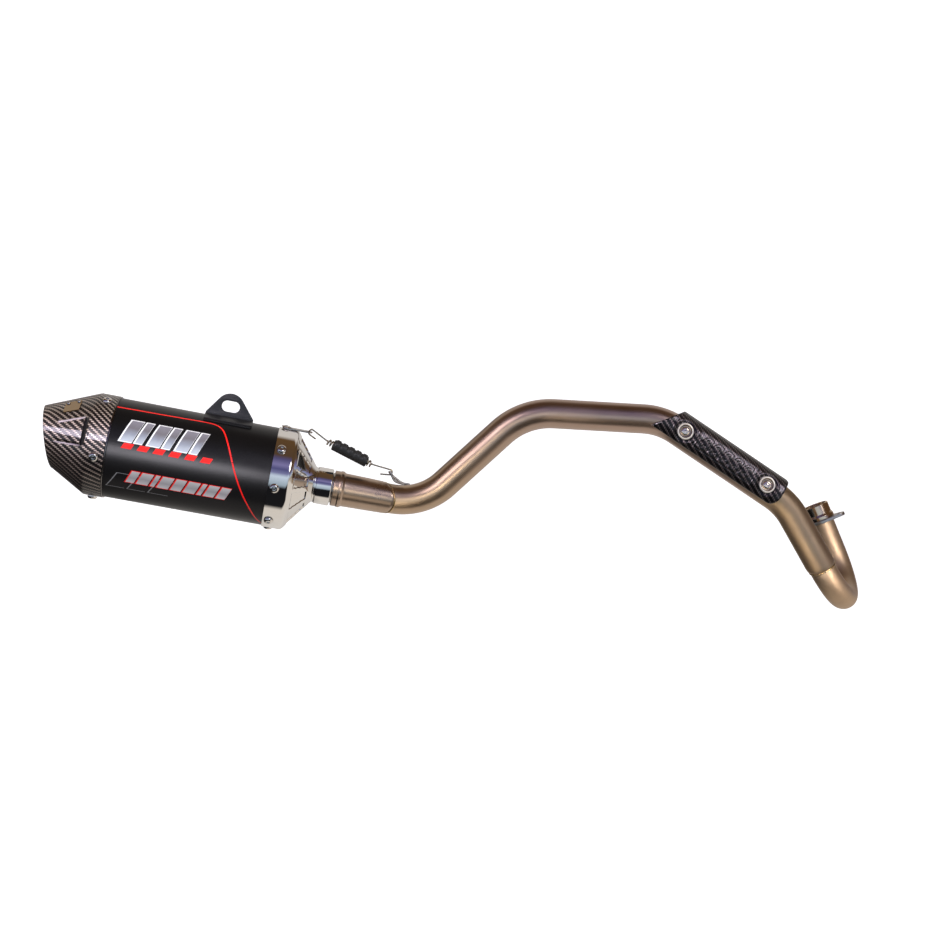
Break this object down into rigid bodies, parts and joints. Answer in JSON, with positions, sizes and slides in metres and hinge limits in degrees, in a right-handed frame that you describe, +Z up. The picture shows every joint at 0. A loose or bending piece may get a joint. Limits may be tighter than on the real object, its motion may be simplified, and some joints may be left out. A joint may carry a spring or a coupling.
{
  "type": "exhaust muffler",
  "caption": "Small motorcycle exhaust: black slip-on muffler with carbon tail cap, hanger tab and spring, on a bent pipe with carbon heat shield, looped header and loose port flange.",
  "frame": {"origin": "centre of the exhaust port's mouth, on the axis of the port collar", "axes": "+X towards the front of the motorcycle, +Y from the rider's right side inwards, +Z up"},
  "size_m": [0.7893, 0.1775, 0.2097],
  "materials": {
    "titanium": "satin bronze-tinted titanium tube",
    "black_can": "satin black anodised sleeve with a red pinstripe and printed bars",
    "carbon": "lacquered twill carbon fibre",
    "polished": "mirror polished metal",
    "steel": "plain steel",
    "black_steel": "black powder coat",
    "rubber": "moulded black rubber",
    "wool": "glass wool packing"
  },
  "bodies": {
    "pipe": {"mid_pipe": "titanium", "header_pipe": "titanium", "header_weld": "titanium", "slip_weld": "titanium", "slip_bell": "titanium", "port_collar": "polished", "spring_bail": "steel", "heat_shield": "carbon", "shield_boss_1": "titanium", "shield_boss_2": "titanium", "cup_washer_1": "polished", "cup_washer_2": "polished", "shield_screw_1": "polished", "shield_screw_2": "polished", "muffler_spring": "steel"},
    "muffler": {"can_sleeve": "black_can", "inlet_cap": "polished", "inlet_spigot": "steel", "perforated_core": "steel", "packing": "wool", "end_ring": "polished", "tail_tube": "steel", "tail_cap": "carbon", "hanger_bracket": "black_steel", "spring_tab": "steel", "badge_plate": "polished", "badge_rivet_1": "polished", "badge_rivet_2": "polished", "inlet_screw_1": "polished", "inlet_screw_2": "polished", "inlet_screw_3": "polished", "inlet_screw_4": "polished", "inlet_screw_5": "polished", "inlet_screw_6": "polished", "inlet_screw_7": "polished", "inlet_screw_8": "polished", "tail_screw_1": "polished", "tail_screw_2": "polished", "tail_screw_3": "polished", "tail_screw_4": "polished", "tail_screw_5": "polished"},
    "flange": {"header_flange": "steel"},
    "spring_cover": {"spring_sleeve": "rubber"}
  },
  "joints": [
    {"name": "muffler_slip", "type": "slide", "parent": "pipe", "child": "muffler", "axis": [-0.9747, -0.1266, 0.184], "range_m": [0, 0.008], "stiffness_N_per_m": 4000, "springref_m": -0.012, "deforming": ["muffler_spring"]},
    {"name": "sleeve_slide", "type": "slide", "parent": "pipe", "child": "spring_cover", "axis": [-0.9747, -0.1266, 0.184], "range_m": [0, 0.004]},
    {"name": "flange_swivel", "type": "hinge", "parent": "pipe", "child": "flange", "pos_m": [0.00569, 0, -0.01409], "axis": [-0.3746, 0, 0.9272], "continuous": true}
  ],
  "couplings": [
    {"joint": "sleeve_slide", "follows": "muffler_slip", "ratio": 0.5}
  ]
}
